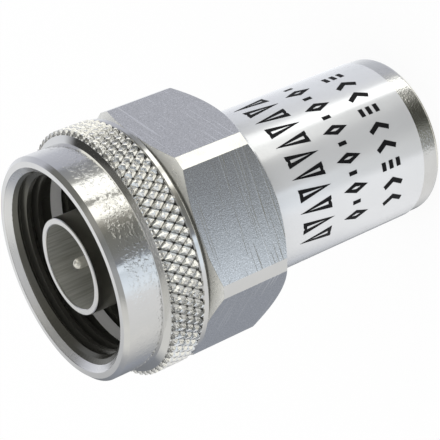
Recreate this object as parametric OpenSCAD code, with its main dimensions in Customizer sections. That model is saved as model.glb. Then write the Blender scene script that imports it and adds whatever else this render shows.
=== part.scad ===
// Coaxial termination with a type N plug, standing on its rear face with the mating end up.
// Millimetres. Z = 0 is the rear face, and the axis of everything is +Z.
// Depths are measured back from the coupling nut's front face, as on a turned part's drawing.

/* [Overall] */
// Length from the nut's front face to the rear face
total_l = 33.2; // [31.5:0.1:38]

/* [Coupling nut, outside] */
// Length of the plain front barrel
barrel_l = 3.37; // [3:0.05:3.8]
// Wall between the barrel's surface and the bottom of the thread
barrel_wall = 1.28; // [1.15:0.01:1.5]
// Outer chamfer of the front rim
rim_chamfer = 0.33; // [0.1:0.01:0.4]
// Length of the cone that rises from the barrel to the knurl
cone_l = 0.38; // [0.2:0.02:0.6]
// Height of the knurl's peaks above the barrel
knurl_rise = 0.95; // [0.8:0.01:1.2]
// Depth of the knurl's grooves
knurl_depth = 0.32; // [0.15:0.01:0.4]
// Number of diamonds round the knurl
knurl_count = 72; // [60:1:84]
// Half rows of diamonds along the knurl
knurl_half_rows = 4; // [2:1:6]
// Length of the knurled band
knurl_l = 2.55; // [1.8:0.05:2.8]
// Share of each diamond that is left flat on top
knurl_flat = 0.42; // [0.1:0.02:0.6]
// Width of the turned line between knurl and collar
line_w = 0.13; // [0.08:0.01:0.2]
// Height of the collar above the barrel
collar_rise = 0.83; // [0.7:0.01:0.95]
// Length of the collar behind the turned line
collar_l = 0.52; // [0.4:0.02:0.8]
// Edge break on both edges of the collar
collar_edge = 0.1; // [0.05:0.01:0.15]
// Wall between the neck's surface and the bottom of the thread
neck_wall = 0.88; // [0.75:0.01:1.1]
// Length of the neck between collar and hexagon
neck_l = 0.55; // [0.3:0.05:0.8]
// Wall between the hexagon's flats and the smooth bore
hex_wall = 1.15; // [0.95:0.01:1.4]
// Height of the hexagon's corners above its flats
hex_corner = 1.1; // [0.7:0.01:1.2]
// Length of the chamfer in front of the hexagon
hex_front_chamfer = 0.62; // [0.3:0.02:0.9]
// Length of the chamfer behind the hexagon
hex_rear_chamfer = 0.95; // [0.5:0.05:1.2]
// Depth of the rear chamfer below the middle of a flat
hex_rear_cut = 0.12; // [0.02:0.01:0.25]

/* [Coupling nut, inside] */
// Diameter at the bottom of the coupling thread
thread_d = 15.94; // [15.88:0.01:16]
// Width of the lead-in chamfer at the mouth
mouth_chamfer = 0.48; // [0.3:0.02:0.6]
// Depth from the front face to the relief behind the thread
relief_start = 5.1; // [4.6:0.1:5.4]
// Length of the relief
relief_l = 0.65; // [0.4:0.05:1]
// Depth of the relief below the bottom of the thread
relief_cut = 0.38; // [0.2:0.02:0.5]
// Depth of the smooth bore below the bottom of the thread
bore_cut = 0.08; // [0.04:0.01:0.12]
// Thickness of the shoulder that closes the nut's rear
shoulder_t = 1.85; // [1.5:0.05:2.1]
// Running gap between the nut's shoulder and the body, on the radius
shoulder_gap = 0.27; // [0.2:0.01:0.35]

/* [Retaining ring] */
// Thickness of the ring
ring_t = 0.7; // [0.5:0.05:0.8]
// How far the ring reaches into the nut, past the smooth bore
ring_reach = 0.25; // [0.18:0.01:0.32]
// Depth of the body's groove that holds the ring
ring_groove = 0.33; // [0.25:0.01:0.5]
// Opening of the ring, in degrees
ring_opening = 24; // [10:1:60]
// Gap round the ring inside the nut's groove, at the rim and at each side
ring_gap = 0.15; // [0.12:0.01:0.2]
// Gap between the ring and the bottom and rear of the body's groove
ring_seat_gap = 0.05; // [0.03:0.01:0.1]

/* [Outer contact] */
// Bore of the contact sleeve
sleeve_bore_d = 7; // [6.9:0.02:7.1]
// Wall of the contact sleeve
sleeve_wall = 0.515; // [0.45:0.005:0.6]
// How far the sleeve's end lies behind the nut's front face
sleeve_recess = 0.87; // [0.4:0.01:1.5]
// Edge break on the sleeve's end
sleeve_edge = 0.06; // [0.02:0.01:0.12]
// Thickness of the sleeve's foot
foot_t = 0.75; // [0.5:0.05:0.9]

/* [Front body] */
// Depth of the face that carries the gasket
face_depth = 10.15; // [10:0.05:10.3]
// Running gap round the flange inside the nut, on the radius
flange_gap = 0.2; // [0.12:0.01:0.3]
// Thickness of the flange
flange_t = 2.25; // [2:0.05:2.35]
// Length of the spigot inside the rear housing
spigot_l = 3.4; // [3:0.1:3.8]
// Diameter of the housing seal's section
seal_section_d = 0.9; // [0.7:0.05:1]
// Distance from the spigot's root to the middle of the seal
seal_from_root = 1.7; // [1.3:0.1:2]

/* [Face gasket] */
// Width of the gasket's ring
gasket_w = 1.8; // [1.4:0.05:2]
// Width of the face between the gasket and the sleeve's foot
gasket_land = 0.6; // [0.4:0.05:0.9]
// Width of the body's rim outside the gasket
gasket_rim = 0.42; // [0.3:0.02:0.6]
// Thickness of the gasket
gasket_t = 0.9; // [0.6:0.05:1.2]
// Depth of the recess that seats the gasket
gasket_seat = 0.3; // [0.15:0.05:0.5]

/* [Centre contact] */
// Diameter of the pin
pin_d = 0.9; // [0.8:0.05:1.66]
// How far the pin's tip lies behind the sleeve's end
pin_recess = 0.42; // [0.2:0.01:1]
// How far the pin's shoulder lies behind the sleeve's end
pin_shoulder_recess = 5.3; // [5.1:0.01:5.4]
// Diameter of the centre conductor behind the shoulder
conductor_d = 3.04; // [2.9:0.02:3.1]
// Diameter of the stub through the bead
stub_d = 2.2; // [2:0.05:2.4]

/* [Bead] */
// Diameter of the insulating bead
bead_d = 8.6; // [8.3:0.1:9]
// Thickness of the bead
bead_t = 2; // [1.6:0.1:2.4]
// Width of the air recess turned into each face of the bead
bead_recess_w = 1.2; // [0.6:0.1:1.4]
// Depth of the air recess
bead_recess_t = 0.4; // [0.2:0.05:0.6]

/* [Load] */
// Diameter of the resistor's ceramic rod
rod_d = 1.6; // [1.5:0.05:1.7]
// Diameter of the end ferrules
ferrule_d = 2; // [1.9:0.02:2.1]
// Length of each ferrule
ferrule_l = 1.5; // [1.2:0.1:1.8]
// Thickness of a ferrule's end wall
ferrule_end_t = 0.25; // [0.15:0.05:0.4]
// Depth of the inner contact's socket
socket_l = 1.6; // [1.3:0.1:2]
// Length of the inner contact behind the bead
inner_contact_l = 6; // [5.6:0.1:6.4]
// Slots in each spring socket
socket_slots = 4; // [2:1:6]
// Width of a slot
slot_w = 0.3; // [0.15:0.05:0.4]
// Diameter of the narrow end of the horn round the rod
taper_end_d = 2.6; // [2.4:0.1:3]
// Diameter of the ground collet's rim
collet_rim_d = 7; // [6:0.2:8]
// Thickness of the ground collet's rim
collet_rim_t = 0.5; // [0.4:0.05:0.7]
// Outer diameter of the ground collet's fingers
collet_d = 3.2; // [3:0.1:3.6]
// Length of the ground collet's fingers
collet_l = 1.5; // [1.2:0.1:1.8]
// Height of the spring washer that holds the stack
washer_h = 2.9; // [2.4:0.1:3.4]
// Thickness of the spring washer's sheet
spring_t = 0.3; // [0.2:0.05:0.4]

/* [Rear housing] */
// Depth of the body's and the housing's surface below the nut's smooth bore
body_drop = 1.12; // [0.95:0.01:1.3]
// Length of the body that shows between the nut and the housing
body_gap = 0.5; // [0.3:0.05:0.8]
// Wall of the housing
housing_wall = 0.7; // [0.5:0.05:0.9]
// Radius of the housing's rear edge
rear_edge_r = 0.5; // [0.3:0.05:0.9]
// Thickness of the housing's rear wall
rear_wall_t = 1.6; // [1:0.1:2]

/* [Label] */
// Width of bare metal in front of the label
bare_front = 0.15; // [0.05:0.05:0.5]
// Width of bare metal behind the label
bare_rear = 1.9; // [1.5:0.1:3]
// Thickness of the label's film
label_t = 0.08; // [0.05:0.01:0.12]
// Butt gap between the film's two ends, in degrees
label_seam = 2; // [1:1:6]

/* [Fits] */
// Radial gap where one turned piece seats in another
seat_gap = 0.03; // [0.02:0.01:0.05]

/* [Hidden] */
$fn = 96;
overlap = 1; // how far a cutting shape runs past what it cuts
taper_steps = 12;
edge_steps = 8;
knurl_root = 0.06; // how far the turned core lies under the knurl's grooves
shoulder_edge = 0.2; // edge break at the rear of the nut's bore
flange_edge = 0.2; // edge break of the flange
film_gap = 0.01; // glue under the label's film
washer_gap = 0.12; // free space inside and outside the spring washer
conductor_edge = 0.2; // edge break of the pin's shoulder
slot_share = 0.8; // share of the inner contact's socket that its slots reach

thread_r = thread_d / 2;
mouth_r = thread_r + mouth_chamfer;
relief_r = thread_r + relief_cut;
relief_end = relief_start + relief_l;
nut_bore_r = thread_r + bore_cut;

barrel_r = thread_r + barrel_wall;
peak_r = barrel_r + knurl_rise;
groove_r = peak_r - knurl_depth;
core_r = groove_r - knurl_root;
collar_r = barrel_r + collar_rise;
neck_r = thread_r + neck_wall;
hex_r = nut_bore_r + hex_wall;
hex_bar_r = hex_r + hex_corner;

knurl_start = barrel_l + cone_l;
knurl_end = knurl_start + knurl_l;
collar_start = knurl_end + line_w;
collar_end = collar_start + collar_l;
neck_end = collar_end + neck_l;
function cone_depth(r) = barrel_l + cone_l * (r - barrel_r) / knurl_rise;

body_r = nut_bore_r - body_drop;
flange_r = nut_bore_r - flange_gap;
flange_rear = face_depth + flange_t;
ring_r = nut_bore_r + ring_reach;
ring_seat_r = body_r - ring_groove;
ring_rear = flange_rear + ring_t;
ring_seat_rear = ring_rear + ring_seat_gap;
nut_groove_front = flange_rear - ring_gap;
nut_groove_rear = ring_rear + ring_gap;
nut_groove_r = ring_r + ring_gap;
shoulder_r = body_r + shoulder_gap;
nut_l = nut_groove_rear + shoulder_t;
housing_start = nut_l + body_gap;

gasket_r = flange_r - gasket_rim - seat_gap;
gasket_bore_r = gasket_r - gasket_w;
housing_bore_r = body_r - housing_wall;
spigot_r = housing_bore_r - seat_gap;
spigot_rear = housing_start + spigot_l;
seal_depth = housing_start + seal_from_root;
seal_r = seal_section_d / 2;
seal_groove_w = 1.2 * seal_section_d;

conductor_r = conductor_d / 2;
sleeve_bore_r = sleeve_bore_d / 2;
sleeve_r = sleeve_bore_r + sleeve_wall;
foot_r = gasket_bore_r - gasket_land;
foot_rear = face_depth + foot_t;
bead_rear = foot_rear + bead_t;
pin_tip = sleeve_recess + pin_recess;
pin_shoulder = sleeve_recess + pin_shoulder_recess;

// The load's stack is pressed forward from the housing's rear wall
stack_rear = total_l - rear_wall_t;
collet_rim_rear = stack_rear - washer_h;
collet_rear = collet_rim_rear + collet_l;
taper_rear = collet_rim_rear - collet_rim_t;
taper_l = taper_rear - spigot_rear;
inner_contact_rear = bead_rear + inner_contact_l;
ferrule_r = ferrule_d / 2;
rod_r = rod_d / 2;
rod_front = inner_contact_rear - socket_l + ferrule_end_t;
rod_rear = collet_rear - ferrule_end_t;

label_start = housing_start + bare_front;
label_end = total_l - bare_rear;

nickel = [0.79, 0.78, 0.76];
satin_nickel = [0.66, 0.67, 0.70];
film_white = [0.93, 0.94, 0.97];
black_rubber = [0.16, 0.16, 0.17];
spring_alloy = [0.86, 0.80, 0.64];

// A solid of revolution from points [radius, depth], turned to stand in the part's frame
module turned(points) {
    translate([0, 0, total_l]) mirror([0, 0, 1]) rotate_extrude() polygon(points);
}

// Radial slots of width w round the axis, between two depths
module radial_slots(count, w, from_depth, to_depth, reach) {
    for (i = [0 : count - 1])
        rotate([0, 0, (i + 0.5) * 360 / count])
            translate([0, -w / 2, total_l - to_depth])
                cube([reach, w, to_depth - from_depth]);
}

// The knurled band is one closed ring whose inside lies within the nut's turned core.
// Its surface is a net of columns and half rows. Grooves cross where column plus row is even,
// and a diamond with a flat top stands on each other point. At both ends the diamonds are cut in half.
knurl_cols = 2 * knurl_count;
row_h = knurl_l / knurl_half_rows;
rows = knurl_half_rows;
ring_bottom_r = (core_r + thread_r) / 2;

function polar(r, col, depth) = [
    r * cos(360 * col / knurl_cols),
    r * sin(360 * col / knurl_cols),
    total_l - depth
];
function wrap(col) = (col + knurl_cols) % knurl_cols;
function row_depth(j) = j == 0 ? cone_depth(groove_r) : knurl_start + j * row_h;

// Points of the net, row by row; those under the diamonds stay unused
net = [for (j = [0 : rows], i = [0 : knurl_cols - 1]) polar(groove_r, i, row_depth(j))];
function at(i, j) = j * knurl_cols + wrap(i);

// Flat tops: column and row of the diamond's middle, then its corners on the right, rear, left and front
function corner(i, j, di, dj) =
    polar(peak_r, i + di * knurl_flat, knurl_start + (j + dj * knurl_flat) * row_h);
whole = [for (j = [1 : rows - 1], i = [0 : knurl_cols - 1]) if ((i + j) % 2 == 1) [i, j]];
front_half = [for (i = [0 : knurl_cols - 1]) if (i % 2 == 1) [i, 0]];
rear_half = [for (i = [0 : knurl_cols - 1]) if ((i + rows) % 2 == 1) [i, rows]];
whole_tops = [for (d = whole) each
    [corner(d[0], d[1], 1, 0), corner(d[0], d[1], 0, 1), corner(d[0], d[1], -1, 0), corner(d[0], d[1], 0, -1)]];
front_tops = [for (d = front_half) each
    [corner(d[0], 0, 1, 0), corner(d[0], 0, 0, 1), corner(d[0], 0, -1, 0)]];
rear_tops = [for (d = rear_half) each
    [corner(d[0], rows, 1, 0), corner(d[0], rows, -1, 0), corner(d[0], rows, 0, -1)]];

// Inner edges of the band's two end faces
inner_front = [for (i = [0 : knurl_cols - 1]) polar(ring_bottom_r, i, knurl_start)];
inner_rear = [for (i = [0 : knurl_cols - 1]) polar(ring_bottom_r, i, knurl_end)];

first_whole = len(net);
first_front = first_whole + len(whole_tops);
first_rear = first_front + len(front_tops);
first_inner_front = first_rear + len(rear_tops);
first_inner_rear = first_inner_front + knurl_cols;
knurl_points = concat(net, whole_tops, front_tops, rear_tops, inner_front, inner_rear);

function whole_faces(n) =
    let (i = whole[n][0], j = whole[n][1], t = first_whole + 4 * n,
         right = at(i + 1, j), rear = at(i, j + 1), left = at(i - 1, j), front = at(i, j - 1))
    [[right, rear, t + 1, t], [rear, left, t + 2, t + 1], [left, front, t + 3, t + 2],
     [front, right, t, t + 3], [t, t + 1, t + 2, t + 3]];

// A half diamond at the front, with its share of the front end face
function front_faces(n) =
    let (i = front_half[n][0], t = first_front + 3 * n, a = first_inner_front,
         right = at(i + 1, 0), rear = at(i, 1), left = at(i - 1, 0),
         inner_right = a + wrap(i + 1), inner = a + i, inner_left = a + wrap(i - 1))
    [[right, rear, t + 1, t], [rear, left, t + 2, t + 1], [t, t + 1, t + 2],
     [inner_right, right, t], [inner, inner_right, t], [inner, t, t + 2],
     [inner_left, inner, t + 2], [inner_left, t + 2, left]];

// The same at the rear
function rear_faces(n) =
    let (i = rear_half[n][0], t = first_rear + 3 * n, a = first_inner_rear,
         right = at(i + 1, rows), front = at(i, rows - 1), left = at(i - 1, rows),
         inner_right = a + wrap(i + 1), inner = a + i, inner_left = a + wrap(i - 1))
    [[left, front, t + 2, t + 1], [front, right, t, t + 2], [t, t + 1, t + 2],
     [right, inner_right, t], [inner_right, inner, t], [inner, t + 1, t],
     [inner, inner_left, t + 1], [inner_left, left, t + 1]];

function inside_faces(i) =
    [[first_inner_front + i, first_inner_rear + i, first_inner_rear + wrap(i + 1)],
     [first_inner_front + i, first_inner_rear + wrap(i + 1), first_inner_front + wrap(i + 1)]];

knurl_faces = concat(
    [for (n = [0 : len(whole) - 1]) each whole_faces(n)],
    [for (n = [0 : len(front_half) - 1]) each front_faces(n)],
    [for (n = [0 : len(rear_half) - 1]) each rear_faces(n)],
    [for (i = [0 : knurl_cols - 1]) each inside_faces(i)]
);

module knurl_band() polyhedron(points = knurl_points, faces = knurl_faces, convexity = 10);

// The nut's turned core: rim, barrel, cone, the core under the knurl, collar and neck
module nut_core() {
    turned([
        [0, 0], [barrel_r - rim_chamfer, 0], [barrel_r, rim_chamfer], [barrel_r, barrel_l],
        [core_r, cone_depth(core_r)], [core_r, collar_start],
        [collar_r - collar_edge, collar_start], [collar_r, collar_start + collar_edge],
        [collar_r, collar_end - collar_edge], [collar_r - collar_edge, collar_end],
        [neck_r, collar_end], [neck_r, neck_end + hex_front_chamfer], [0, neck_end + hex_front_chamfer]
    ]);
}

// The hexagon, milled from a chamfered bar
module nut_hexagon() {
    intersection() {
        turned([
            [0, neck_end], [neck_r, neck_end], [hex_bar_r, neck_end + hex_front_chamfer],
            [hex_bar_r, nut_l - hex_rear_chamfer], [hex_r - hex_rear_cut, nut_l], [0, nut_l]
        ]);
        translate([0, 0, total_l - nut_l - overlap])
            cylinder(h = nut_l, r = hex_r / cos(30), $fn = 6);
    }
}

// What is bored out of the nut, from the mouth to the rear shoulder
module nut_bore() {
    turned([
        [0, -overlap], [mouth_r + overlap, -overlap], [thread_r, mouth_chamfer], [thread_r, relief_start],
        [relief_r, relief_start], [relief_r, relief_end], [nut_bore_r, relief_end],
        [nut_bore_r, nut_groove_front], [nut_groove_r, nut_groove_front], [nut_groove_r, nut_groove_rear],
        [shoulder_r, nut_groove_rear], [shoulder_r, nut_l - shoulder_edge],
        [shoulder_r + shoulder_edge, nut_l], [shoulder_r + shoulder_edge, nut_l + overlap], [0, nut_l + overlap]
    ]);
}

module coupling_nut() {
    color(nickel)
        difference() {
            union() {
                nut_core();
                nut_hexagon();
                knurl_band();
            }
            nut_bore();
        }
}

// An open snap ring, in the body's groove and reaching into the nut's
module retaining_ring() {
    color(satin_nickel)
        translate([0, 0, total_l - ring_rear])
            rotate([0, 0, 90 + ring_opening / 2])
                rotate_extrude(angle = 360 - ring_opening)
                    translate([ring_seat_r + ring_seat_gap, 0])
                        square([ring_r - ring_seat_r - ring_seat_gap, ring_t]);
}

// A flat rubber ring with eased edges, on which the mating jack's rim closes
module face_gasket() {
    gasket_edge = gasket_t / 6;
    front = face_depth + gasket_seat - gasket_t;
    rear = face_depth + gasket_seat;
    color(black_rubber)
        turned([
            [gasket_bore_r + gasket_edge, front], [gasket_r - gasket_edge, front],
            [gasket_r, front + gasket_edge], [gasket_r, rear],
            [gasket_bore_r, rear], [gasket_bore_r, front + gasket_edge]
        ]);
}

// The outer conductor's sleeve, with a foot that is pressed into the front body
module outer_contact() {
    color(nickel)
        turned([
            [sleeve_bore_r, sleeve_recess + sleeve_edge], [sleeve_bore_r + sleeve_edge, sleeve_recess],
            [sleeve_r - sleeve_edge, sleeve_recess], [sleeve_r, sleeve_recess + sleeve_edge],
            [sleeve_r, face_depth], [foot_r, face_depth], [foot_r, foot_rear],
            [sleeve_bore_r, foot_rear]
        ]);
}

// The body that carries the nut, the contact and the housing
module front_body() {
    color(satin_nickel)
        difference() {
            turned([
                [0, face_depth], [flange_r - flange_edge, face_depth], [flange_r, face_depth + flange_edge],
                [flange_r, flange_rear], [ring_seat_r, flange_rear], [ring_seat_r, ring_seat_rear],
                [body_r, ring_seat_rear], [body_r, housing_start], [spigot_r, housing_start],
                [spigot_r, spigot_rear], [0, spigot_rear]
            ]);
            // seat of the contact's foot, of the bead and of the air line behind it
            turned([
                [0, face_depth - overlap], [foot_r + seat_gap, face_depth - overlap],
                [foot_r + seat_gap, foot_rear], [bead_d / 2 + seat_gap, foot_rear],
                [bead_d / 2 + seat_gap, bead_rear], [sleeve_bore_r, bead_rear],
                [sleeve_bore_r, spigot_rear + overlap], [0, spigot_rear + overlap]
            ]);
            // recess of the gasket
            turned([
                [gasket_bore_r - seat_gap, face_depth - overlap],
                [gasket_r + seat_gap, face_depth - overlap],
                [gasket_r + seat_gap, face_depth + gasket_seat],
                [gasket_bore_r - seat_gap, face_depth + gasket_seat]
            ]);
            // groove of the housing seal
            turned([
                [housing_bore_r - 2 * seal_r, seal_depth - seal_groove_w / 2],
                [housing_bore_r + overlap, seal_depth - seal_groove_w / 2],
                [housing_bore_r + overlap, seal_depth + seal_groove_w / 2],
                [housing_bore_r - 2 * seal_r, seal_depth + seal_groove_w / 2]
            ]);
        }
}

// The bead that centres the pin, with an air recess in each face
module insulating_bead() {
    mid = (stub_d / 2 + bead_d / 2) / 2;
    color([0.95, 0.95, 0.92])
        turned([
            [stub_d / 2 + seat_gap, foot_rear], [mid - bead_recess_w / 2, foot_rear],
            [mid - bead_recess_w / 2, foot_rear + bead_recess_t],
            [mid + bead_recess_w / 2, foot_rear + bead_recess_t],
            [mid + bead_recess_w / 2, foot_rear], [bead_d / 2, foot_rear], [bead_d / 2, bead_rear],
            [mid + bead_recess_w / 2, bead_rear], [mid + bead_recess_w / 2, bead_rear - bead_recess_t],
            [mid - bead_recess_w / 2, bead_rear - bead_recess_t], [mid - bead_recess_w / 2, bead_rear],
            [stub_d / 2 + seat_gap, bead_rear]
        ]);
}

// The pin, its shoulder and the stub that passes through the bead
module centre_pin() {
    pin_r = pin_d / 2;
    stub_rear = bead_rear + socket_l;
    color(spring_alloy)
        turned(concat(
            [for (k = [0 : edge_steps])
                [pin_r * sin(90 * k / edge_steps), pin_tip + pin_r * (1 - cos(90 * k / edge_steps))]],
            [
                [pin_r, pin_shoulder], [conductor_r - conductor_edge, pin_shoulder],
                [conductor_r, pin_shoulder + conductor_edge],
                [conductor_r, foot_rear], [stub_d / 2, foot_rear], [stub_d / 2, stub_rear], [0, stub_rear]
            ]
        ));
}

// The contact behind the bead: screwed on the stub, with a slotted socket for the resistor
module inner_contact() {
    socket_front = inner_contact_rear - socket_l;
    color(spring_alloy)
        difference() {
            turned([
                [0, bead_rear], [conductor_r, bead_rear],
                [conductor_r, inner_contact_rear], [0, inner_contact_rear]
            ]);
            turned([
                [0, bead_rear - overlap], [stub_d / 2 + seat_gap, bead_rear - overlap],
                [stub_d / 2 + seat_gap, bead_rear + socket_l + seat_gap], [0, bead_rear + socket_l + seat_gap]
            ]);
            turned([
                [0, socket_front], [ferrule_r + seat_gap, socket_front],
                [ferrule_r + seat_gap, inner_contact_rear + overlap], [0, inner_contact_rear + overlap]
            ]);
            radial_slots(socket_slots, slot_w, inner_contact_rear - socket_l * slot_share,
                inner_contact_rear + overlap, conductor_d);
        }
}

// A metal cup over one end of the rod: open_side is 1 where it opens to the rear, -1 to the front
module ferrule(end_depth, open_side) {
    color([0.80, 0.80, 0.82])
        turned([
            [0, end_depth], [ferrule_r, end_depth], [ferrule_r, end_depth + open_side * ferrule_l],
            [rod_r + seat_gap, end_depth + open_side * ferrule_l],
            [rod_r + seat_gap, end_depth + open_side * ferrule_end_t], [0, end_depth + open_side * ferrule_end_t]
        ]);
}

module front_ferrule() ferrule(rod_front - ferrule_end_t, 1);
module rear_ferrule() ferrule(rod_rear + ferrule_end_t, -1);

// The ceramic rod with its resistive film
module load_resistor() {
    color([0.22, 0.20, 0.20])
        turned([[0, rod_front], [rod_r, rod_front], [rod_r, rod_rear], [0, rod_rear]]);
}

// The outer conductor's horn: its bore narrows round the rod by an even share for each step
module taper_horn() {
    function horn_r(t) = sleeve_bore_r * pow(taper_end_d / 2 / sleeve_bore_r, t);
    color([0.80, 0.70, 0.44])
        turned(concat(
            [for (k = [0 : taper_steps])
                [horn_r(k / taper_steps), spigot_rear + taper_l * k / taper_steps]],
            [[spigot_r, taper_rear], [spigot_r, spigot_rear]]
        ));
}

// The slotted collet that grounds the rod's rear end on the horn
module ground_collet() {
    color(spring_alloy)
        difference() {
            turned([
                [ferrule_r + seat_gap, taper_rear], [collet_rim_d / 2, taper_rear], [collet_rim_d / 2, collet_rim_rear],
                [collet_d / 2, collet_rim_rear], [collet_d / 2, collet_rear],
                [ferrule_r + seat_gap, collet_rear]
            ]);
            radial_slots(socket_slots, slot_w, collet_rim_rear, collet_rear + overlap, collet_d);
        }
}

// A dished washer between the collet's rim and the housing's rear wall
module spring_washer() {
    outer_r = housing_bore_r - washer_gap;
    inner_r = collet_d / 2 + washer_gap;
    color([0.70, 0.70, 0.72])
        turned([
            [inner_r, collet_rim_rear], [inner_r + spring_t, collet_rim_rear],
            [outer_r, stack_rear - spring_t], [outer_r, stack_rear], [outer_r - spring_t, stack_rear],
            [inner_r, collet_rim_rear + spring_t]
        ]);
}

// A round rubber ring in the spigot's groove
module housing_seal() {
    color(black_rubber)
        translate([0, 0, total_l - seal_depth])
            rotate_extrude()
                translate([housing_bore_r - seal_r, 0])
                    circle(r = seal_r - seat_gap / 2);
}

// The housing: a cup over the load, closed at the rear and rounded there
module rear_housing() {
    edge_r = rear_edge_r;
    color(nickel)
        difference() {
            turned(concat(
                [[0, housing_start], [body_r, housing_start]],
                [for (k = [0 : edge_steps])
                    [body_r - edge_r + edge_r * cos(90 * k / edge_steps),
                     total_l - edge_r + edge_r * sin(90 * k / edge_steps)]],
                [[0, total_l]]
            ));
            turned([
                [0, housing_start - overlap], [housing_bore_r, housing_start - overlap],
                [housing_bore_r, stack_rear], [0, stack_rear]
            ]);
        }
}

// The printed film wrapped round the housing, its butt seam away from the print
module label_film() {
    color(film_white)
        translate([0, 0, total_l - label_end])
            rotate([0, 0, 90 + label_seam / 2])
                rotate_extrude(angle = 360 - label_seam)
                    translate([body_r + film_gap, 0])
                        square([label_t, label_end - label_start]);
}

coupling_nut();
retaining_ring();
face_gasket();
outer_contact();
front_body();
insulating_bead();
centre_pin();
inner_contact();
front_ferrule();
load_resistor();
rear_ferrule();
taper_horn();
ground_collet();
spring_washer();
housing_seal();
rear_housing();
label_film();
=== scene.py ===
"""Looks of a coaxial termination with a type N plug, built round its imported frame."""
import math

import bmesh
import bpy
from mathutils import Matrix, Vector


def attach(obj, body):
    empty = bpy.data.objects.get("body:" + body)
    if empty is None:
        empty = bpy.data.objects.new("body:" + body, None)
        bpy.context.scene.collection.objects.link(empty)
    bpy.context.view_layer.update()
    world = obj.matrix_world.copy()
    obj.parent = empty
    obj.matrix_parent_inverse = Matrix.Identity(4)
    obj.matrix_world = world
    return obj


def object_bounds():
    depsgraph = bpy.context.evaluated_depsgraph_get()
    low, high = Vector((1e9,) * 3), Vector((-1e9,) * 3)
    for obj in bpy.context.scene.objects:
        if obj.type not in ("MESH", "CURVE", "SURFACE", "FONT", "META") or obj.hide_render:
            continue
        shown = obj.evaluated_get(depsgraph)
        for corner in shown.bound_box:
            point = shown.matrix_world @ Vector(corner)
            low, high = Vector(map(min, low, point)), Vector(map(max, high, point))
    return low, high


MM = 0.001

# Sizes repeated from the part's source, in millimetres, with depths from the nut's front face
THREAD_R = 7.97
THREAD_CREST_R = 7.42
THREAD_PITCH = 1.058
THREAD_END = 4.07
MOUTH_CHAMFER = 0.48
MOUTH_R = THREAD_R + MOUTH_CHAMFER
LAND_END = 5.1
BARREL_END = 3.37
KNURL_START = 3.75
KNURL_END = 6.3
KNURL_ROW = 0.6375
KNURL_COUNT = 72
KNURL_FLAT = 0.42
HEX_START = 7.5
HEX_R = 9.2
HEX_BAR_R = 10.3
SLEEVE_BORE_R = 3.5
SLEEVE_RECESS = 0.87
LABEL_R = 7.02

# Radii between which the finish changes: from the bore to the outside, from the rim's chamfer to the
# barrel, from the cone to the knurl, and from the hexagon's chamfer to the painted shade at its root
OUTSIDE_R = (8.7, 8.8)
BARREL_R = (9.0, 9.1)
KNURL_R = (9.7, 9.75)
CHAMFER_SHADE_R = (9.25, 9.1)
# Depths in front of which a turned face of the hexagon is its front chamfer
FRONT_CHAMFER = (10.0, 9.9)

# The thread's ridge: half its width at root and crest, as shares of the pitch, and its run-out in turns
RIDGE_ROOT = 0.46
RIDGE_CREST = 0.17
RIDGE_RUN_OUT = 0.25

# Rows of signs on the label: first and last depth, first and last azimuth, pitch and stroke
SIGN_ROWS = (
    (18.4, 21.4, -133.5, -11.0, 11.7, 0.36),
    (22.9, 25.0, -129.0, -12.0, 10.4, 0.34),
    (26.7, 29.0, -129.0, -13.0, 13.2, 0.42),
)
SIGN_RISE = 0.015
SIGN_ROOT = 0.01
# Share of the pitch that a sign fills, longest straight piece of a stroke, and limit of a mitre
SIGN_FILL = 0.72
STROKE_STEP = 0.35
MITRE_LIMIT = 0.45

# The photograph's camera: place in millimetres, direction and roll in degrees
CAMERA_PLACE = (14.95, -112.19, 80.88)
CAMERA_AZIMUTH = 98.2
CAMERA_ELEVATION = -28.87
CAMERA_ROLL = -113.11
CAMERA_LENS = 129.94
SENSOR_WIDTH = 36.0

# The studio as polished nickel shows it, by the direction of the mirrored ray. The tables hold azimuths
# in degrees with display colours, where over 255 is a lamp. A height is the z of that direction, from -1
# at the bottom to 1 overhead. The floor is hidden from mirrored rays, so the studio goes on below it.
# Level directions and those a little below: grey cards beside a lamp, and pale ones round the rest
STUDIO_SHALLOW = (
    (-180, (200, 200, 199)),
    (-135, (206, 207, 209)),
    (-124, (219, 227, 235)),
    (-114, (209, 218, 228)),
    (-107, (196, 205, 214)),
    (-103.5, (222, 231, 241)),
    (-101, (207, 216, 226)),
    (-99.1, (184, 192, 202)),
    (-98.2, (118, 122, 128)),
    (-92, (122, 123, 124)),
    (-86, (112, 113, 111)),
    (-68, (108, 108, 103)),
    (-60, (128, 126, 119)),
    (-54, (170, 168, 160)),
    (-49, (276, 274, 265)),
    (-10, (276, 276, 271)),
    (-6, (165, 165, 161)),
    (2, (138, 139, 140)),
    (15, (130, 132, 136)),
    (21, (166, 168, 177)),
    (50, (180, 182, 191)),
    (68, (206, 208, 213)),
    (98, (214, 215, 217)),
    (106, (112, 114, 118)),
    (118, (116, 119, 124)),
    (138, (136, 140, 149)),
    (148, (150, 152, 156)),
    (168, (188, 188, 188)),
)
# Directions further down: a wider dark card beside a narrower lamp
STUDIO_STEEP = (
    (-180, (208, 208, 208)),
    (-130, (206, 207, 207)),
    (-122, (132, 133, 129)),
    (-102, (122, 122, 114)),
    (-92, (96, 97, 90)),
    (-84, (60, 60, 54)),
    (-62, (64, 64, 58)),
    (-46, (112, 112, 107)),
    (-36, (136, 136, 132)),
    (-31, (150, 150, 146)),
    (-28, (310, 310, 304)),
    (-15, (310, 310, 306)),
    (-8, (180, 181, 182)),
    (4, (176, 178, 186)),
    (40, (184, 187, 194)),
    (92, (228, 230, 233)),
    (99, (118, 120, 124)),
    (114, (112, 114, 118)),
    (124, (178, 179, 181)),
    (134, (184, 185, 186)),
    (150, (207, 207, 208)),
)
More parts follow.
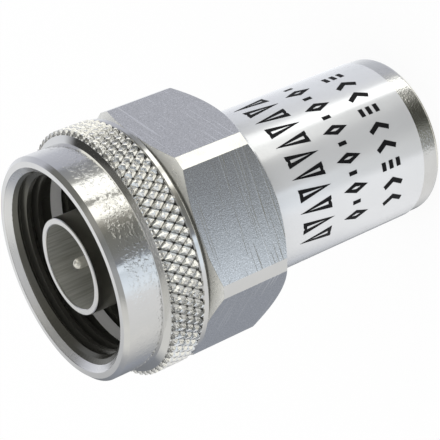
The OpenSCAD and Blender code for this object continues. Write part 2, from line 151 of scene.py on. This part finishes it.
# Directions upwards: the dim front of the tent and its light back
STUDIO_HIGH = (
    (-180, (205, 205, 202)),
    (-160, (192, 192, 190)),
    (-146, (152, 153, 152)),
    (-115, (148, 150, 152)),
    (-95, (126, 128, 129)),
    (-68, (114, 115, 114)),
    (-45, (136, 135, 131)),
    (-28, (144, 143, 138)),
    (-8, (108, 108, 103)),
    (30, (106, 106, 104)),
    (48, (66, 66, 64)),
    (70, (56, 56, 55)),
    (84, (140, 140, 139)),
    (96, (200, 200, 198)),
    (150, (200, 200, 198)),
)
STUDIO_TOP = (212, 212, 212)
STUDIO_BOTTOM = (228, 227, 219)
STUDIO_FOOT = (70, 70, 66)
# Heights between which each of them gives way to the next
STEEP_HEIGHTS = (-0.51, -0.56)
BOTTOM_HEIGHTS = (-0.82, -0.87)
FOOT_HEIGHTS = (-0.94, -0.97)
HIGH_HEIGHTS = (0.42, 0.54)
TOP_HEIGHTS = (0.93, 0.96)
# A dark slit in the lamp: azimuths, heights of its lower edge, strength and light
SLIT = (-36, -30)
SLIT_HEIGHTS = (-0.47, -0.45)
SLIT_STRENGTH = 0.85
SLIT_LIGHT = (0.2, 0.196, 0.17)
# A light card on the level directions, and a dark screen above it
CARD = (-75, 25)
CARD_FOOT = (-0.32, -0.22)
CARD_TOP = (0.36, 0.28)
CARD_COLOUR = (250, 249, 242)
SCREEN = (-118, -62)
SCREEN_FOOT = (0.26, 0.34)
SCREEN_COLOUR = (58, 58, 55)
# The share of the studio's light that the nickel mirrors, and the even light that all else gets
NICKEL_REFLECTANCE = 0.72
DIFFUSE_LEVEL = 1.0
# How much of the floor is plain white to the camera; the rest keeps the shadow
FLOOR_WHITE = 0.9

# Colours of the plate: in the open, and with painted shade in the nut's bore and on its thread
NICKEL = (0.72, 0.715, 0.70)
BORE_SHADE_COLOUR = (0.15, 0.148, 0.128)
THREAD_SHADE_COLOUR = (0.12, 0.118, 0.102)


def linear(red, green, blue):
    """Linear colour of a display colour given in 0 to 255."""
    def one(value):
        value /= 255
        return value / 12.92 if value <= 0.04045 else ((value + 0.055) / 1.055) ** 2.4
    return one(red), one(green), one(blue)


def behind_nickel(colour):
    """The light that nickel mirrors as a display colour."""
    return tuple(share / NICKEL_REFLECTANCE for share in linear(*colour))


def turn_share(azimuth):
    """An azimuth in degrees as a share of the full turn that starts at -180."""
    return (azimuth + 180) / 360


class Tree:
    """Builds a node tree: add() makes one node and sets or links its inputs."""

    def __init__(self, tree):
        self.tree = tree
        tree.nodes.clear()

    def add(self, kind, inputs=None, **settings):
        node = self.tree.nodes.new("ShaderNode" + kind)
        for key, value in settings.items():
            setattr(node, key, value)
        for key, value in (inputs or {}).items():
            if isinstance(value, bpy.types.NodeSocket):
                self.tree.links.new(value, node.inputs[key])
            else:
                node.inputs[key].default_value = value
        return node

    def math(self, operation, first, second=0.0, third=0.0):
        return self.add("Math", {0: first, 1: second, 2: third}, operation=operation).outputs[0]

    def mix(self, factor, first, second):
        """Mixes two colours: the first at 0 and the second at 1."""
        node = self.add("Mix", {0: factor}, data_type="RGBA")
        for index, value in ((6, first), (7, second)):
            if isinstance(value, bpy.types.NodeSocket):
                self.tree.links.new(value, node.inputs[index])
            else:
                node.inputs[index].default_value = (*value, 1.0)
        return node.outputs[2]

    def ramp(self, factor, stops):
        """Colours along a factor from 0 to 1, at stops of position and colour."""
        node = self.add("ValToRGB", {0: factor})
        elements = node.color_ramp.elements
        while len(elements) < len(stops):
            elements.new(1.0)
        for element, (position, colour) in zip(elements, stops):
            element.position = position
            element.color = (*colour, 1.0)
        return node.outputs[0]

    def rise(self, value, low, high):
        """0 below low, 1 above high, and an even rise between; high below low falls instead."""
        return self.add("MapRange", {0: value, 1: low, 2: high}).outputs[0]

    def band(self, value, low, high, soft=0.04):
        """1 between low and high, with soft ends."""
        up = self.rise(value, low - soft, low)
        down = self.rise(value, high + soft, high)
        return self.math("MULTIPLY", up, down)

    def noise(self, vector, size, detail=2.0, roughness=0.5, stretch=(1, 1, 1)):
        """Noise from 0 to 1, with the size of its features in millimetres and their stretch per axis."""
        scale = tuple(1 / (size * MM * share) for share in stretch)
        place = self.add("VectorMath", {0: vector, 1: scale}, operation="MULTIPLY").outputs[0]
        settings = {"Vector": place, "Scale": 1.0, "Detail": detail, "Roughness": roughness}
        return self.add("TexNoise", settings).outputs[0]

    def total(self, *terms):
        result = terms[0]
        for term in terms[1:]:
            result = self.math("ADD", result, term)
        return result

    def times(self, *terms):
        result = terms[0]
        for term in terms[1:]:
            result = self.math("MULTIPLY", result, term)
        return result


def make_material(name):
    """A new material, its tree and its shader."""
    material = bpy.data.materials.new(name)
    material.use_nodes = True
    tree = Tree(material.node_tree)
    shader = tree.add("BsdfPrincipled")
    tree.add("OutputMaterial", {"Surface": shader.outputs[0]})
    return material, tree, shader


def object_place(tree):
    """Place on the part, as a vector in metres."""
    return tree.add("TexCoord").outputs["Object"]


def part_place(tree):
    """Place on the part: its vector, its radius and depth in millimetres, and its azimuth in degrees."""
    place = object_place(tree)
    x, y, z = tree.add("SeparateXYZ", {0: place}).outputs
    flat = tree.add("CombineXYZ", {0: x, 1: y}).outputs[0]
    length = tree.add("VectorMath", {0: flat}, operation="LENGTH").outputs["Value"]
    radius = tree.math("MULTIPLY", length, 1 / MM)
    depth = tree.math("MULTIPLY_ADD", z, -1 / MM, top)
    azimuth = tree.math("DEGREES", tree.math("ARCTAN2", y, x))
    return place, radius, depth, azimuth


def set_bump(tree, shader, height):
    """Bump from a height in millimetres."""
    bump = tree.add("Bump", {"Height": height, "Strength": 1.0, "Distance": MM})
    tree.tree.links.new(bump.outputs[0], shader.inputs["Normal"])


def put(tree, shader, **inputs):
    """Sets or links the shader's inputs; an underscore stands for a space."""
    for name, value in inputs.items():
        socket = shader.inputs[name.replace("_", " ")]
        if isinstance(value, bpy.types.NodeSocket):
            tree.tree.links.new(value, socket)
        elif isinstance(value, tuple):
            socket.default_value = (*value, 1.0)
        else:
            socket.default_value = value


def dress(material, *names):
    """Gives CAD nodes their finish."""
    for name in names:
        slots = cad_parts[name].data.materials
        slots.clear()
        slots.append(material)


def knurl_cell(tree, depth, azimuth):
    """Place in a diamond of the knurl, on its two axes: 0 at its middle and 1 in the grooves."""
    column = tree.math("MULTIPLY", azimuth, KNURL_COUNT / 180)
    row = tree.math("MULTIPLY_ADD", depth, 1 / KNURL_ROW, -KNURL_START / KNURL_ROW)
    axes = []
    for operation in ("ADD", "SUBTRACT"):
        along = tree.math("FLOORED_MODULO", tree.math(operation, column, row), 2.0)
        axes.append(tree.math("ABSOLUTE", tree.math("SUBTRACT", along, 1.0)))
    return axes


def nut_nickel():
    """Nickel plate of the coupling nut, whose finish changes from zone to zone."""
    material, tree, shader = make_material("nut_nickel")
    place, radius, depth, azimuth = part_place(tree)
    inside = tree.times(
        tree.rise(radius, MOUTH_R - 0.04, MOUTH_R - 0.07),
        tree.rise(depth, MOUTH_CHAMFER - 0.01, MOUTH_CHAMFER + 0.04),
    )
    mouth = tree.times(
        tree.rise(depth, 0.02, 0.05),
        tree.rise(depth, MOUTH_CHAMFER + 0.02, MOUTH_CHAMFER),
        tree.rise(radius, MOUTH_R + 0.02, MOUTH_R - 0.01),
    )
    land = tree.times(inside, tree.band(depth, THREAD_END, LAND_END - 0.04))
    bore = tree.math("SUBTRACT", inside, land)
    outside = tree.rise(radius, *OUTSIDE_R)
    barrel = tree.times(tree.rise(depth, BARREL_END + 0.02, BARREL_END), tree.rise(radius, *BARREL_R))
    knurl = tree.times(tree.band(depth, KNURL_START - 0.1, KNURL_END), tree.rise(radius, *KNURL_R))
    # Painted shade: a dark line in the gap between the knurl and the collar
    seam_shade = tree.times(tree.band(depth, KNURL_END + 0.02, KNURL_END + 0.11), outside)
    hexagon = tree.times(tree.rise(depth, HEX_START, HEX_START + 0.1), outside)
    turn = tree.math("FLOORED_MODULO", azimuth, 60.0)
    turn = tree.math("RADIANS", tree.math("SUBTRACT", turn, 30.0))
    across = tree.math("MULTIPLY", radius, tree.math("COSINE", turn))
    turned = tree.times(
        tree.rise(across, HEX_R - 0.01, HEX_R - 0.03),
        tree.rise(radius, HEX_BAR_R - 0.01, HEX_BAR_R - 0.03),
    )
    chamfer = tree.times(hexagon, turned, tree.rise(depth, *FRONT_CHAMFER))
    flat = tree.times(hexagon, tree.band(across, HEX_R - 0.01, HEX_R + 0.01, soft=0.01))

    one, other = knurl_cell(tree, depth, azimuth)
    off = tree.math("MAXIMUM", one, other)
    # Painted shade: the knurl's pockets and grooves are darkened, as shade falls in them
    pocket_shade = tree.times(knurl, tree.rise(tree.math("ADD", one, other), 1.55, 1.75))
    groove_shade = tree.times(knurl, tree.rise(off, 0.84, 0.96))

    cloud = tree.noise(place, 1.5, detail=4)
    speck = tree.noise(place, 0.1, detail=1)
    scratch = tree.noise(place, 0.13, detail=0, stretch=(45, 45, 1))
    scratched = tree.times(flat, tree.rise(scratch, 0.68, 0.8))
    base = tree.mix(tree.rise(cloud, 0.35, 0.75), NICKEL, (0.69, 0.69, 0.68))
    # The knurl, with painted shade in its grooves, specks and scratches on the flats, painted shade in
    # the knurl's pockets and behind it, the hexagon's chamfer with painted shade at its root, the mouth,
    # the bore darkened by painted shade, and the land lightened by painted light
    layers = (
        (knurl, (0.82, 0.815, 0.795)),
        (tree.times(groove_shade, 0.4), (0.10, 0.10, 0.09)),
        (tree.times(flat, tree.rise(speck, 0.5, 0.34)), (0.56, 0.56, 0.55)),
        (tree.times(flat, tree.rise(speck, 0.6, 0.76)), (0.98, 0.98, 0.98)),
        (tree.times(scratched, 0.5), (0.95, 0.95, 0.95)),
        (tree.times(pocket_shade, 0.85), (0.04, 0.04, 0.035)),
        (tree.times(seam_shade, 0.8), (0.05, 0.05, 0.045)),
        (chamfer, (0.88, 0.875, 0.835)),
        # Painted shade at the root of the hexagon's chamfer
        (tree.times(chamfer, tree.rise(radius, *CHAMFER_SHADE_R)), (0.16, 0.16, 0.14)),
        (mouth, (0.80, 0.80, 0.80)),
        # Painted shade: the bore is given a dark colour
        (bore, BORE_SHADE_COLOUR),
        # Painted light: the land is given a near-white matt colour so that it looks lit
        (land, (0.96, 0.955, 0.94)),
    )
    for mask, colour in layers:
        base = tree.mix(mask, base, colour)

    grain = tree.noise(place, 0.06, detail=1)
    pits = tree.noise(place, 0.28, detail=3, roughness=0.6)
    marked = tree.times(barrel, tree.band(depth, 1.0, 3.0, soft=0.25))
    # Relief in millimetres: pits, grain and scratches, and the points that the knurl's flat tops lack
    height = tree.total(
        tree.times(barrel, pits, 0.004),
        tree.times(hexagon, pits, 0.002),
        tree.times(marked, tree.rise(pits, 0.5, 0.72), 0.009),
        tree.times(flat, grain, 0.0019),
        tree.times(scratched, 0.004),
        tree.times(knurl, tree.rise(off, KNURL_FLAT, 0.0), 0.09),
        tree.times(knurl, tree.rise(off, KNURL_FLAT, 1.0), 0.045),
        tree.times(knurl, pits, 0.045),
        tree.times(land, grain, 0.004),
    )
    # Roughness of the open plate, and what each zone adds
    rough = tree.total(
        0.07,
        tree.times(knurl, 0.09),
        tree.times(flat, 0.01),
        tree.times(tree.math("ADD", chamfer, mouth), 0.2),
        tree.times(bore, 0.16),
        tree.times(land, 0.3),
        tree.times(tree.rise(cloud, 0.4, 0.8), 0.05),
    )
    dull = tree.total(land, tree.times(bore, 0.3), tree.times(chamfer, 0.55), tree.times(mouth, 0.15))
    plated = tree.math("SUBTRACT", 1.0, dull)
    put(tree, shader, Base_Color=base, Metallic=plated, Roughness=rough)
    set_bump(tree, shader, height)
    return material


def metal(name, colour, roughness, grain=0.004, size=0.3, stretch=(1, 1, 1), plated=1.0):
    """A plated or turned metal with a fine grain; plated says how much of it mirrors."""
    material, tree, shader = make_material(name)
    place = object_place(tree)
    fine = tree.noise(place, size, detail=3, stretch=stretch)
    cloud = tree.noise(place, 2.0, detail=3)
    darker = tuple(0.9 * share for share in colour)
    base = tree.mix(tree.rise(cloud, 0.4, 0.8), colour, darker)
    rough = tree.math("MULTIPLY_ADD", fine, 0.12, roughness - 0.05)
    put(tree, shader, Base_Color=base, Metallic=plated, Roughness=rough)
    set_bump(tree, shader, tree.times(fine, grain))
    return material


def contact_nickel():
    """Plate of the contact sleeve: bright on its end, and dull along its bore and its outside, where
    painted shade darkens it.
    """
    material, tree, shader = make_material("contact_nickel")
    place, radius, depth = part_place(tree)[:3]
    fine = tree.noise(place, 0.2, detail=2, stretch=(1, 1, 20))
    deep = tree.rise(depth, SLEEVE_RECESS + 0.08, SLEEVE_RECESS + 0.14)
    inner = tree.times(deep, tree.rise(radius, SLEEVE_BORE_R + 0.03, SLEEVE_BORE_R + 0.01))
    outer = tree.math("SUBTRACT", deep, inner)
    base = tree.mix(inner, (0.68, 0.675, 0.655), (0.66, 0.66, 0.62))
    base = tree.mix(tree.times(inner, tree.rise(fine, 0.4, 0.7)), base, (0.46, 0.46, 0.42))
    # Painted shade: the sleeve's outside, deep in the nut, is given a darker colour
    base = tree.mix(outer, base, (0.42, 0.415, 0.36))
    rough = tree.total(0.14, tree.times(deep, 0.14), tree.times(fine, 0.08))
    plated = tree.math("SUBTRACT", 1.0, tree.times(inner, 0.3))
    put(tree, shader, Base_Color=base, Metallic=plated, Roughness=rough)
    set_bump(tree, shader, tree.times(fine, 0.006))
    return material


def film():
    """The label's silvery white film."""
    material, tree, shader = make_material("label_film")
    place = object_place(tree)
    wave = tree.noise(place, 3.0, detail=1)
    fine = tree.noise(place, 0.5, detail=2)
    base = tree.mix(tree.rise(wave, 0.3, 0.7), (0.82, 0.832, 0.85), (0.80, 0.812, 0.83))
    rough = tree.math("MULTIPLY_ADD", fine, 0.06, 0.14)
    put(tree, shader, Base_Color=base, Metallic=0.37, Roughness=rough)
    put(tree, shader, Coat_Weight=1.0, Coat_Roughness=0.1)
    set_bump(tree, shader, tree.total(tree.times(wave, 0.01), tree.times(fine, 0.0006)))
    return material


def soft_stuff(name, colour, roughness, grain, size, shift, gloss=0.5):
    """Rubber, plastic or ink: a colour with a fine mottle and a moulded or turned surface."""
    material, tree, shader = make_material(name)
    fine = tree.noise(object_place(tree), size, detail=3)
    shifted = tuple(min(1.0, share * shift) for share in colour)
    base = tree.mix(tree.rise(fine, 0.35, 0.7), colour, shifted)
    rough = tree.math("MULTIPLY_ADD", fine, 0.1, roughness - 0.05)
    put(tree, shader, Base_Color=base, Roughness=rough, Specular_IOR_Level=gloss)
    set_bump(tree, shader, tree.times(fine, grain))
    return material


def point_on(radius, azimuth, depth):
    """Point in metres from a radius and a depth in millimetres and an azimuth in degrees."""
    angle = math.radians(azimuth)
    return Vector((radius * math.cos(angle), radius * math.sin(angle), top - depth)) * MM


def mesh_object(name, vertices, faces, material):
    """A flat-shaded object of one material, its faces turned outwards."""
    mesh = bpy.data.meshes.new(name)
    mesh.from_pydata(vertices, [], faces)
    shape = bmesh.new()
    shape.from_mesh(mesh)
    bmesh.ops.recalc_face_normals(shape, faces=shape.faces)
    shape.to_mesh(mesh)
    shape.free()
    mesh.materials.append(material)
    for polygon in mesh.polygons:
        polygon.use_smooth = False
    piece = bpy.data.objects.new(name, mesh)
    bpy.context.scene.collection.objects.link(piece)
    return piece


def coupling_thread(material):
    """The nut's internal thread: one helical ridge, cut back by the mouth's chamfer, with a run-out."""
    steps_per_turn = 120
    half_root = THREAD_PITCH * RIDGE_ROOT
    half_crest = THREAD_PITCH * RIDGE_CREST
    root_r = THREAD_R + 0.02
    last = THREAD_END - half_root
    steps = int((last - MOUTH_CHAMFER) / THREAD_PITCH * steps_per_turn)
    vertices = []
    for step in range(steps + 1):
        turn = step / steps_per_turn
        depth = MOUTH_CHAMFER + turn * THREAD_PITCH
        left = min(1.0, (steps - step) / (RIDGE_RUN_OUT * steps_per_turn))
        crest_r = root_r + (THREAD_CREST_R - root_r) * max(left, 0.05)
        profile = (
            (-half_root, root_r),
            (-half_crest, crest_r),
            (half_crest, crest_r),
            (half_root, root_r),
        )
        for offset, radius in profile:
            at = max(depth + offset, MOUTH_CHAMFER - 0.01)
            cut_back = MOUTH_R - at
            vertices.append(point_on(max(radius, min(cut_back, root_r)), turn * 360, at))
    faces = []
    for step in range(steps):
        a, b = 4 * step, 4 * step + 4
        for k in range(4):
            faces.append((a + k, a + (k + 1) % 4, b + (k + 1) % 4, b + k))
    faces.append((0, 1, 2, 3))
    faces.append(tuple(4 * steps + k for k in range(4)))
    thread = mesh_object("coupling_thread", vertices, faces, material)
    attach(thread, "nut")


def sign_strokes(kind, width, height):
    """The strokes of a plain shape: points across and along the row, and whether the stroke closes."""
    w, h = width / 2, height / 2
    shapes = {
        "up": [([(-w, h), (0, -h), (w, h)], True)],
        "down": [([(-w, -h), (w, -h), (0, h)], True)],
        "diamond": [([(0, -h), (w, 0), (0, h), (-w, 0)], True)],
        "bar": [([(0, -h * 0.45), (0, h * 0.45)], False)],
        "dashes": [([(-w, level), (w, level)], False) for level in (-h * 0.8, 0, h * 0.8)],
        "arrow": [([(-w * 0.7, -h), (w * 0.7, 0), (-w * 0.7, h)], False)],
    }
    return shapes[kind]


def offset_line(points, closed, half):
    """Points shifted sideways by half a stroke, with mitred corners."""
    count = len(points)
    shifted = []
    for k, here in enumerate(points):
        here = Vector(here)
        before = Vector(points[(k - 1) % count]) if closed or k > 0 else None
        after = Vector(points[(k + 1) % count]) if closed or k < count - 1 else None
        normals = []
        for start, end in ((before, here), (here, after)):
            if start is not None and end is not None:
                run = (end - start).normalized()
                normals.append(Vector((-run.y, run.x)))
        mean = sum(normals, Vector((0, 0))).normalized()
        shifted.append(here + mean * half / max(mean.dot(normals[0]), MITRE_LIMIT))
    return shifted


def add_stroke(vertices, faces, centre, points, closed, width):
    """One stroke as a thin closed strip that follows the label's curve."""
    left = offset_line(points, closed, width / 2)
    right = offset_line(points, closed, -width / 2)
    rings = []
    runs = len(points) if closed else len(points) - 1
    for k in range(runs):
        following = (k + 1) % len(points)
        cuts = max(1, math.ceil((left[following] - left[k]).length / STROKE_STEP))
        for cut in range(cuts):
            share = cut / cuts
            rings.append([side[k].lerp(side[following], share) for side in (left, right)])
    if not closed:
        rings.append([left[-1], right[-1]])
    azimuth, depth = centre
    first = len(vertices)
    for ring in rings:
        for side in ring:
            turn = azimuth + math.degrees(side.x / LABEL_R)
            for radius in (LABEL_R + SIGN_RISE, LABEL_R - SIGN_ROOT):
                vertices.append(point_on(radius, turn, depth + side.y))
    count = len(rings)
    for k in range(count if closed else count - 1):
        a = first + 4 * k
        b = first + 4 * ((k + 1) % count)
        faces.extend([(a, b, b + 2, a + 2), (a + 1, a + 3, b + 3, b + 1),
                      (a, a + 1, b + 1, b), (a + 2, b + 2, b + 3, a + 3)])
    if not closed:
        end = first + 4 * (count - 1)
        faces.extend([(first, first + 2, first + 3, first + 1), (end, end + 1, end + 3, end + 2)])


def label_signs(material):
    """Three rows of plain shapes in place of the label's print, each row a repeated pattern."""
    patterns = (
        ("up", "down"),
        ("diamond", "bar"),
        ("arrow", "arrow", "dashes"),
    )
    vertices, faces = [], []
    for pattern, (front, rear, first, last, pitch, stroke) in zip(patterns, SIGN_ROWS):
        count = int((last - first) / pitch) + 1
        width = math.radians(pitch) * LABEL_R * SIGN_FILL - stroke
        height = rear - front - stroke
        for k in range(count):
            centre = (first + k * pitch, (front + rear) / 2)
            for points, closed in sign_strokes(pattern[k % len(pattern)], width, height):
                add_stroke(vertices, faces, centre, points, closed, stroke)
    signs = mesh_object("label_signs", vertices, faces, material)
    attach(signs, "load_body")


def studio():
    """World that polished metal mirrors as a studio, and that lights everything else evenly."""
    world = bpy.data.worlds.new("studio")
    bpy.context.scene.world = world
    world.use_nodes = True
    world.cycles.sampling_method = "NONE"
    tree = Tree(world.node_tree)
    direction = tree.add("TexCoord").outputs["Generated"]
    x, y, z = tree.add("SeparateXYZ", {0: direction}).outputs
    share = tree.math("MULTIPLY_ADD", tree.math("ARCTAN2", y, x), 1 / math.tau, 0.5)

    def panorama(stops):
        rows = [(turn_share(azimuth), behind_nickel(colour)) for azimuth, colour in stops]
        return tree.ramp(share, rows + [(1.0, rows[0][1])])

    def sector(azimuths, soft):
        return tree.band(share, *map(turn_share, azimuths), soft=soft)

    shallow, steep = panorama(STUDIO_SHALLOW), panorama(STUDIO_STEEP)
    slit = tree.times(sector(SLIT, 0.004), tree.rise(z, *SLIT_HEIGHTS), SLIT_STRENGTH)
    card = tree.times(sector(CARD, 0.02), tree.rise(z, *CARD_FOOT), tree.rise(z, *CARD_TOP))
    screen = tree.times(sector(SCREEN, 0.02), tree.rise(z, *SCREEN_FOOT))
    mirrored = tree.mix(tree.rise(z, *STEEP_HEIGHTS), shallow, steep)
    layers = (
        (slit, SLIT_LIGHT),
        (tree.rise(z, *BOTTOM_HEIGHTS), behind_nickel(STUDIO_BOTTOM)),
        (tree.rise(z, *FOOT_HEIGHTS), behind_nickel(STUDIO_FOOT)),
        (card, behind_nickel(CARD_COLOUR)),
        (screen, behind_nickel(SCREEN_COLOUR)),
        (tree.rise(z, *HIGH_HEIGHTS), panorama(STUDIO_HIGH)),
        (tree.rise(z, *TOP_HEIGHTS), behind_nickel(STUDIO_TOP)),
    )
    for mask, light in layers:
        mirrored = tree.mix(mask, mirrored, light)
    path = tree.add("LightPath")
    seen = tree.mix(path.outputs["Is Glossy Ray"], (DIFFUSE_LEVEL,) * 3, mirrored)
    seen = tree.mix(path.outputs["Is Camera Ray"], seen, (1.0, 1.0, 1.0))
    background = tree.add("Background", {"Color": seen})
    tree.add("OutputWorld", {"Surface": background.outputs[0]})


def floor(half=0.6):
    """A white floor that keeps a faint shadow; half its side is in metres."""
    material = bpy.data.materials.new("pale_floor")
    material.use_nodes = True
    tree = Tree(material.node_tree)
    matt = tree.add("BsdfDiffuse", {"Color": (0.97, 0.97, 0.97, 1.0)})
    white = tree.add("Emission", {"Color": (1.0, 1.0, 1.0, 1.0)})
    seen = tree.math("MULTIPLY", tree.add("LightPath").outputs["Is Camera Ray"], FLOOR_WHITE)
    surface = tree.add("MixShader", {0: seen, 1: matt.outputs[0], 2: white.outputs[0]})
    tree.add("OutputMaterial", {"Surface": surface.outputs[0]})
    corners = [(-half, -half, 0), (half, -half, 0), (half, half, 0), (-half, half, 0)]
    ground = mesh_object("floor", corners, [(0, 1, 2, 3)], material)
    ground.visible_glossy = False


def camera():
    """The photograph's camera."""
    data = bpy.data.cameras.new("camera")
    data.lens = CAMERA_LENS
    data.sensor_width = SENSOR_WIDTH
    data.clip_start = 0.005
    data.clip_end = 10.0
    holder = bpy.data.objects.new("camera", data)
    bpy.context.scene.collection.objects.link(holder)
    azimuth, elevation = math.radians(CAMERA_AZIMUTH), math.radians(CAMERA_ELEVATION)
    level = math.cos(elevation)
    forward = Vector((math.cos(azimuth) * level, math.sin(azimuth) * level, math.sin(elevation)))
    aim = forward.to_track_quat("-Z", "Y").to_matrix().to_4x4()
    roll = Matrix.Rotation(math.radians(CAMERA_ROLL), 4, "Z")
    holder.matrix_world = Matrix.Translation(Vector(CAMERA_PLACE) * MM) @ aim @ roll
    bpy.context.scene.camera = holder


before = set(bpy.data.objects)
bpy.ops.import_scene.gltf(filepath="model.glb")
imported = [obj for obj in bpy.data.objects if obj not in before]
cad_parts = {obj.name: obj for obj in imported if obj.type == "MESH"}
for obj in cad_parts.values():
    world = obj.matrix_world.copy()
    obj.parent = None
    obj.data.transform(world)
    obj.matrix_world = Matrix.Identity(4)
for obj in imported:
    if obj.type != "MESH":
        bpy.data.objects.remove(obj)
cad_low, cad_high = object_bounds()
top = cad_high.z / MM

dress(nut_nickel(), "coupling_nut")
dress(contact_nickel(), "outer_contact")
dress(metal("housing_nickel", NICKEL, 0.11, grain=0.013, size=0.16), "rear_housing")
dress(metal("satin_nickel", (0.55, 0.55, 0.54), 0.34), "front_body")
dress(metal("pin_plate", (0.80, 0.78, 0.70), 0.16, grain=0.002, plated=0.6), "centre_pin")
dress(metal("contact_plate", (0.74, 0.71, 0.63), 0.22), "inner_contact", "ground_collet")
dress(metal("ferrule_plate", (0.78, 0.78, 0.78), 0.25), "front_ferrule", "rear_ferrule")
dress(metal("turned_brass", (0.75, 0.60, 0.32), 0.3, size=0.15, stretch=(30, 30, 1)), "taper_horn")
dress(metal("spring_steel", (0.55, 0.55, 0.56), 0.3), "spring_washer", "retaining_ring")
black_rubber = soft_stuff("black_rubber", (0.022, 0.022, 0.024), 0.55, 0.01, 0.4, 1.6)
dress(black_rubber, "face_gasket", "housing_seal")
dress(soft_stuff("bead_plastic", (0.86, 0.86, 0.83), 0.4, 0.004, 0.25, 0.94), "insulating_bead")
dress(soft_stuff("resistor_film", (0.05, 0.042, 0.04), 0.35, 0.003, 0.2, 1.5), "load_resistor")
dress(film(), "label_film")
# Painted shade: the thread is given a dark colour
coupling_thread(metal("shaded_thread_nickel", THREAD_SHADE_COLOUR, 0.22, grain=0.002, plated=0.75))
label_signs(soft_stuff("label_ink", (0.005, 0.005, 0.006), 0.5, 0.0006, 0.15, 1.5, gloss=0.12))
studio()
floor()
camera()

bpy.context.scene.view_settings.view_transform = "Standard"
